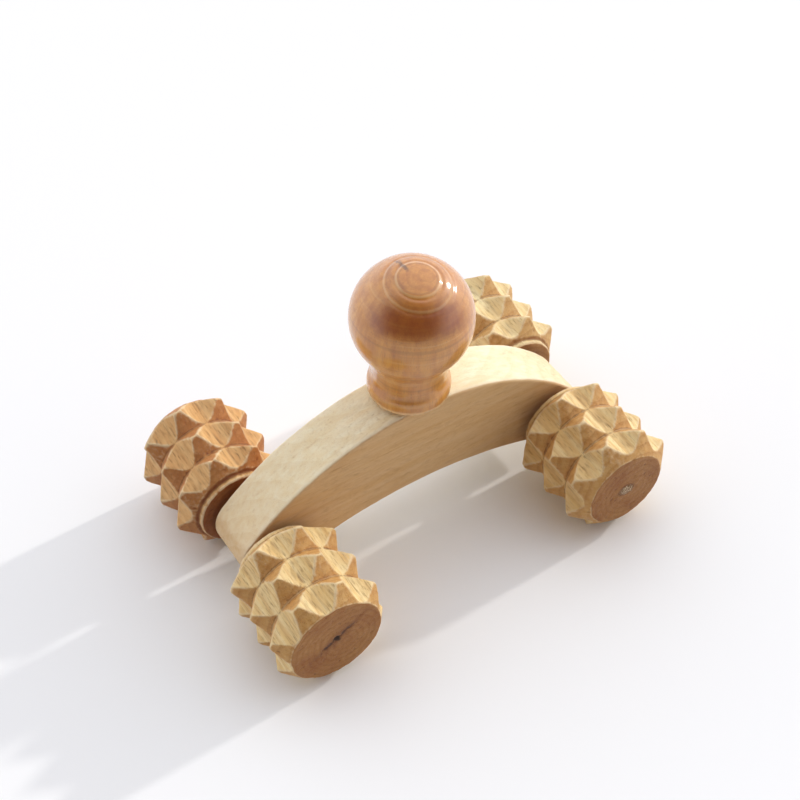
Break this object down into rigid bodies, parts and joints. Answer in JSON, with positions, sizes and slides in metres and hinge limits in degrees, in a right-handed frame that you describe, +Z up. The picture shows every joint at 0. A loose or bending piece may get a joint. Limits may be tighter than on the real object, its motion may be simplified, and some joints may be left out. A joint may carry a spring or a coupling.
{
  "type": "foot massage roller",
  "caption": "Wooden foot massager: an arched bar with a turned ball knob on top, and toothed rollers on axle rods through both ends of the bar.",
  "frame": {"origin": "on the surface it stands on, under the centre of the four rollers", "axes": "+X along the bar, +Y along the axle rods, +Z up towards the knob"},
  "size_m": [0.1282, 0.086, 0.0901],
  "materials": {
    "bar_wood": "bare sanded pale hardwood",
    "knob_lacquered_wood": "glossy clear lacquer on amber wood",
    "dowel_wood": "bare dowel wood",
    "roller_wood_ochre": "satin oiled wood, yellow ochre",
    "roller_wood_red": "satin oiled wood, reddish",
    "roller_wood_pale": "satin oiled wood, pale"
  },
  "bodies": {
    "bar_and_knob": {"arch_bar": "bar_wood", "knob": "knob_lacquered_wood", "knob_dowel": "dowel_wood"},
    "left_axle_set": {"left_axle_rod": "dowel_wood", "left_front_roller": "roller_wood_ochre", "left_rear_roller": "roller_wood_red"},
    "right_axle_set": {"right_axle_rod": "dowel_wood", "right_front_roller": "roller_wood_ochre", "right_rear_roller": "roller_wood_pale"}
  },
  "joints": [
    {"name": "left_axle_spin", "type": "hinge", "parent": "bar_and_knob", "child": "left_axle_set", "pos_m": [-0.0478, 0, 0.01627], "axis": [0, 1, 0], "continuous": true},
    {"name": "right_axle_spin", "type": "hinge", "parent": "bar_and_knob", "child": "right_axle_set", "pos_m": [0.0478, 0, 0.01627], "axis": [0, 1, 0], "continuous": true}
  ]
}
